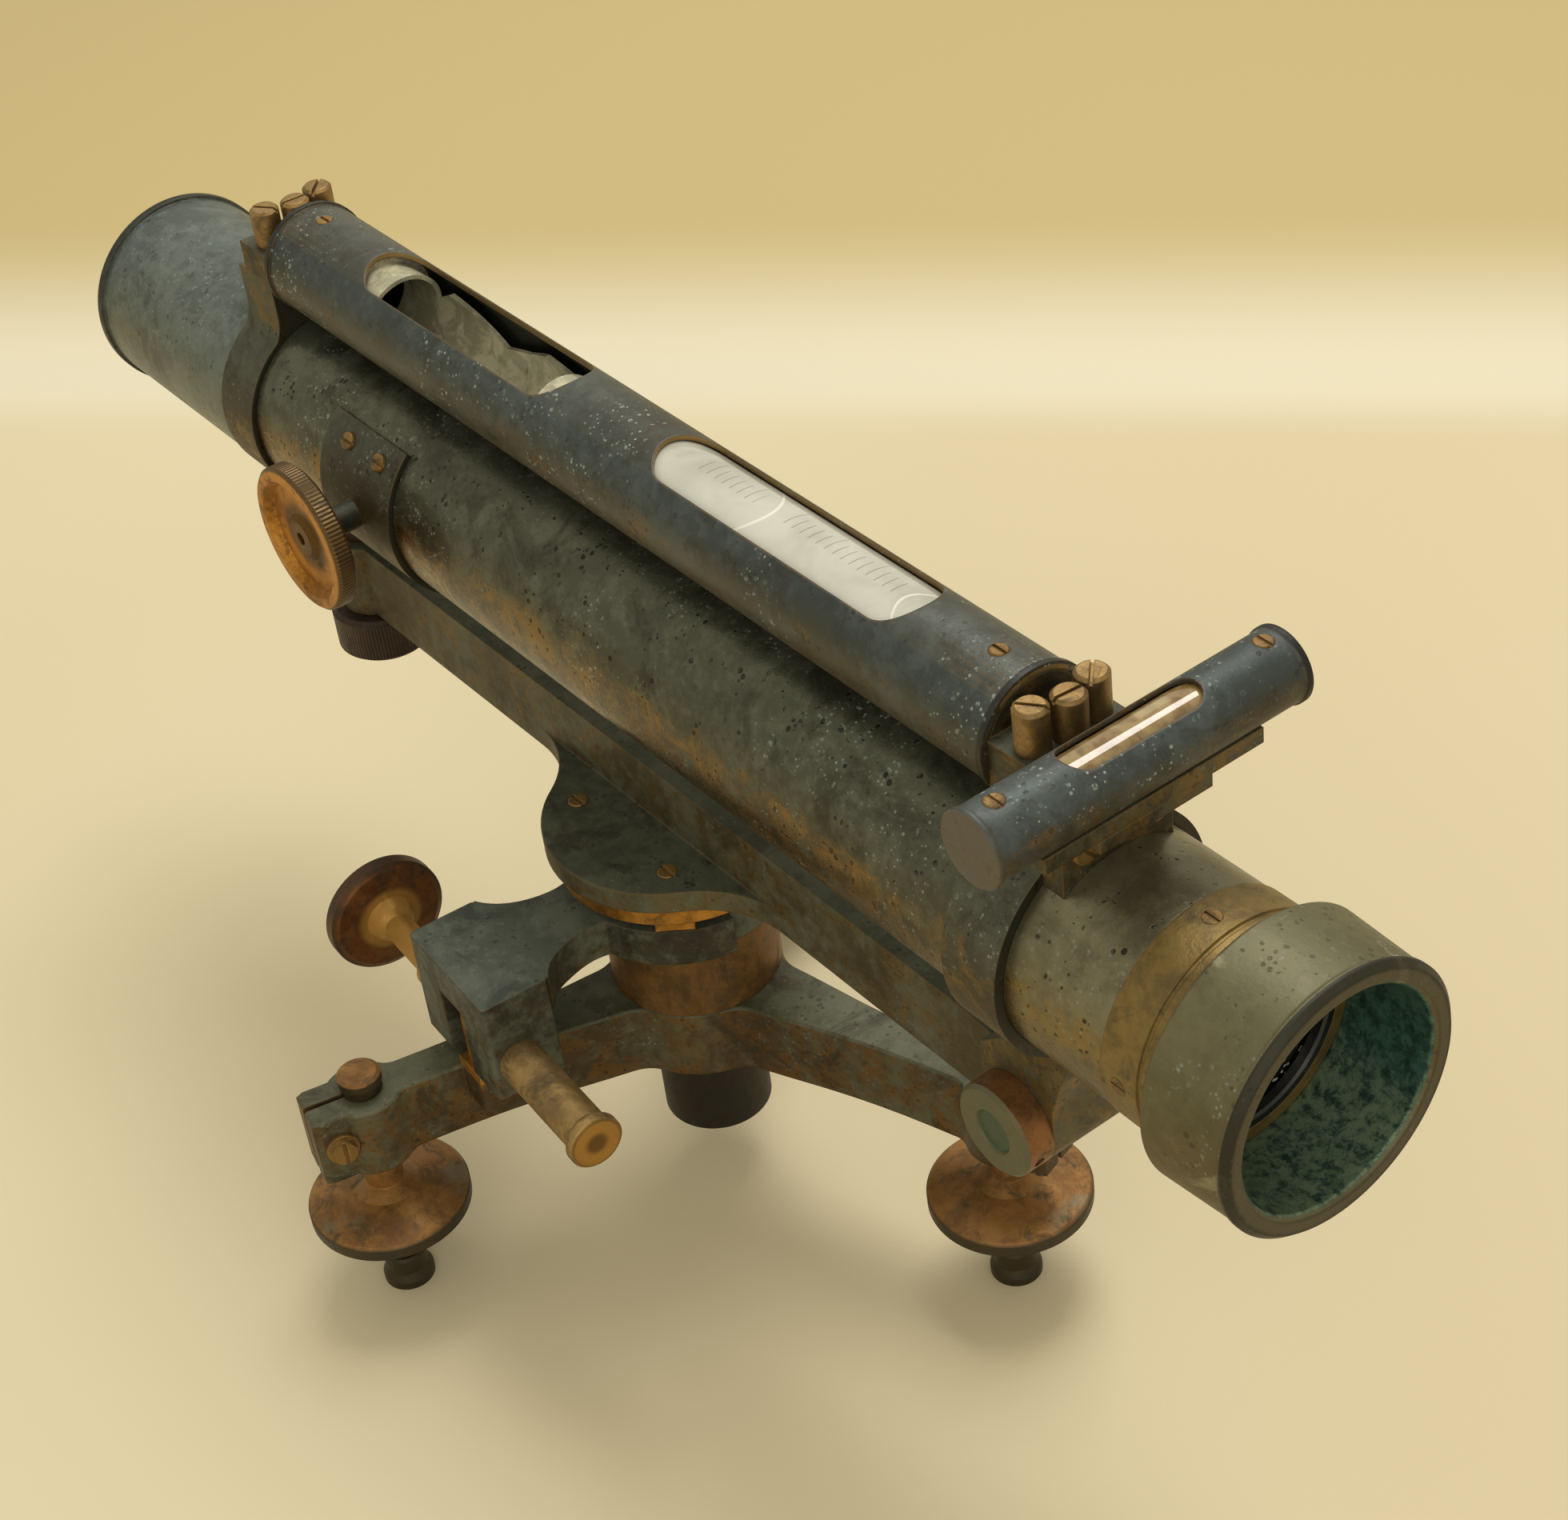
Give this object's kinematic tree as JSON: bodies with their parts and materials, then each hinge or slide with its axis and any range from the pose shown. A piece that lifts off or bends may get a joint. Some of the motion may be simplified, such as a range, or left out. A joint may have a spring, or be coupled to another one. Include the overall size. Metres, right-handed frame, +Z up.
{
  "type": "surveying level",
  "caption": "Antique surveyor's dumpy level: tilting telescope with long and cross spirit levels on a three-armed footscrew base",
  "frame": {"origin": "centre of the mouth of the threaded tripod socket, on the vertical axis", "axes": "+X along the telescope towards the objective, +Y across it away from the focusing knob, +Z up"},
  "size_m": [0.4185, 0.1804, 0.2235],
  "materials": {
    "clear_glass": "optical glass",
    "lacquer_casting": "blue-black lacquer over brass, oxidised",
    "lacquer_tube": "bluish lacquer worn to warm metal below",
    "old_brass": "golden brass, tarnished brown",
    "plaster": "cream plaster bed",
    "vial_glass": "level vial glass",
    "worn_brass": "brown worn brass"
  },
  "bodies": {
    "tribrach": {"tribrach_casting": "lacquer_casting", "pinch_screws": "old_brass", "axis_socket": "old_brass", "tangent_tongue": "old_brass"},
    "clamp_arm": {"clamp_arm": "lacquer_casting", "spring_barrel": "worn_brass"},
    "tangent_shoe": {"tangent_shoe": "worn_brass"},
    "tangent_screw": {"tangent_screw": "worn_brass"},
    "spring_plunger": {"spring_plunger": "worn_brass"},
    "limb": {"limb_disc": "old_brass", "spindle": "old_brass", "limb_bar": "lacquer_casting", "stage_screws": "old_brass"},
    "tilt_plunger": {"tilt_plunger": "worn_brass"},
    "tilt_screw": {"tilt_screw": "worn_brass"},
    "telescope": {"main_tube": "lacquer_tube", "near_collar": "lacquer_casting", "far_collar": "lacquer_casting", "nose_tube": "lacquer_tube", "cell_ring": "old_brass", "cell_screws": "old_brass", "hood": "lacquer_tube", "objective_lens": "clear_glass", "lens_retainer": "lacquer_tube", "guard_hood": "lacquer_tube", "rear_guide": "lacquer_casting", "front_guide": "lacquer_casting", "pinion_plate": "lacquer_casting", "plate_screws": "old_brass", "level_casing": "lacquer_tube", "level_casing_screws": "old_brass", "level_lug_near": "lacquer_casting", "level_lug_far": "lacquer_casting", "level_nuts_near": "old_brass", "level_nuts_far": "old_brass", "level_vial": "vial_glass", "broken_vial": "vial_glass", "vial_packing": "plaster", "cross_casing": "lacquer_tube", "cross_casing_screws": "old_brass", "cross_vial": "vial_glass", "cross_vial_seats": "plaster", "cross_base": "lacquer_casting", "cross_bracket": "lacquer_casting", "bracket_screws": "old_brass", "pivot_screw": "worn_brass"},
    "draw_tube": {"draw_tube": "lacquer_tube", "focus_rack": "old_brass", "reticle_ring": "old_brass", "reticle_glass": "clear_glass"},
    "focus_knob": {"pinion": "old_brass", "focus_knob": "old_brass"},
    "eyepiece": {"eyepiece": "lacquer_casting", "eye_lens": "clear_glass"},
    "foot_pad_1": {"foot_pad_1": "worn_brass"},
    "footscrew_1": {"footscrew_1": "worn_brass"},
    "foot_pad_2": {"foot_pad_2": "worn_brass"},
    "footscrew_2": {"footscrew_2": "worn_brass"},
    "foot_pad_3": {"foot_pad_3": "worn_brass"},
    "footscrew_3": {"footscrew_3": "worn_brass"}
  },
  "joints": [
    {"name": "foot_travel_1", "type": "slide", "parent": "tribrach", "child": "foot_pad_1", "axis": [0, 0, 1], "range_m": [-0.0022, 0.006]},
    {"name": "footscrew_turn_1", "type": "hinge", "parent": "foot_pad_1", "child": "footscrew_1", "pos_m": [-0.01867, -0.08354, 0], "axis": [0, 0, 1], "range_deg": [-793, 2161]},
    {"name": "foot_travel_2", "type": "slide", "parent": "tribrach", "child": "foot_pad_2", "axis": [0, 0, 1], "range_m": [-0.0022, 0.006]},
    {"name": "footscrew_turn_2", "type": "hinge", "parent": "foot_pad_2", "child": "footscrew_2", "pos_m": [0.08168, 0.0256, 0], "axis": [0, 0, 1], "range_deg": [-793, 2161]},
    {"name": "foot_travel_3", "type": "slide", "parent": "tribrach", "child": "foot_pad_3", "axis": [0, 0, 1], "range_m": [-0.0022, 0.006]},
    {"name": "footscrew_turn_3", "type": "hinge", "parent": "foot_pad_3", "child": "footscrew_3", "pos_m": [-0.06301, 0.05794, 0], "axis": [0, 0, 1], "range_deg": [-793, 2161]},
    {"name": "tangent_swing", "type": "hinge", "parent": "tribrach", "child": "clamp_arm", "pos_m": [0, 0, 0.072], "axis": [0, 0, 1], "range_deg": [-2.2, 2.2]},
    {"name": "tangent_shoe_travel", "type": "slide", "parent": "clamp_arm", "child": "tangent_shoe", "axis": [0.9976, -0.0698, 0], "range_m": [-0.0023, 0.0023]},
    {"name": "tangent_screw_turn", "type": "hinge", "parent": "tangent_shoe", "child": "tangent_screw", "pos_m": [-0.00394, -0.05636, 0.0588], "axis": [0.9976, -0.0698, 0], "range_deg": [-1105, 1105]},
    {"name": "spring_plunger_travel", "type": "slide", "parent": "clamp_arm", "child": "spring_plunger", "axis": [0.9976, -0.0698, 0], "range_m": [-0.0023, 0.0023]},
    {"name": "instrument_rotation", "type": "hinge", "parent": "clamp_arm", "child": "limb", "pos_m": [0, 0, 0.072], "axis": [0, 0, 1], "continuous": true},
    {"name": "telescope_tilt", "type": "hinge", "parent": "limb", "child": "telescope", "pos_m": [0.1335, 0, 0.09615], "axis": [0, 1, 0], "range_deg": [-0.6, 0.6]},
    {"name": "tilt_plunger_travel", "type": "slide", "parent": "limb", "child": "tilt_plunger", "axis": [0, 0, 1], "range_m": [-0.0029, 0.0029]},
    {"name": "tilt_screw_turn", "type": "hinge", "parent": "limb", "child": "tilt_screw", "pos_m": [-0.1319, 0, 0.095], "axis": [0, 0, 1], "range_deg": [-2089, 2089]},
    {"name": "focus_travel", "type": "slide", "parent": "telescope", "child": "draw_tube", "axis": [1, 0, 0], "range_m": [-0.012, 0.012]},
    {"name": "focus_knob_turn", "type": "hinge", "parent": "telescope", "child": "focus_knob", "pos_m": [-0.0795, 0, 0.1484], "axis": [0, 1, 0], "range_deg": [-192, 192]},
    {"name": "eyepiece_travel", "type": "slide", "parent": "draw_tube", "child": "eyepiece", "axis": [1, 0, 0], "range_m": [-0.004, 0.003]}
  ],
  "couplings": [
    {"joint": "footscrew_turn_1", "follows": "foot_travel_1", "rad_per_m": 6283.2},
    {"joint": "footscrew_turn_2", "follows": "foot_travel_2", "rad_per_m": 6283.2},
    {"joint": "footscrew_turn_3", "follows": "foot_travel_3", "rad_per_m": 6283.2},
    {"joint": "tangent_shoe_travel", "follows": "tangent_swing", "m_per_rad": -0.0565},
    {"joint": "tangent_screw_turn", "follows": "tangent_swing", "ratio": -473.33},
    {"joint": "spring_plunger_travel", "follows": "tangent_swing", "m_per_rad": -0.0565},
    {"joint": "tilt_plunger_travel", "follows": "telescope_tilt", "m_per_rad": 0.2654},
    {"joint": "tilt_screw_turn", "follows": "telescope_tilt", "ratio": -3335.1},
    {"joint": "focus_knob_turn", "follows": "focus_travel", "rad_per_m": -277.78}
  ]
}
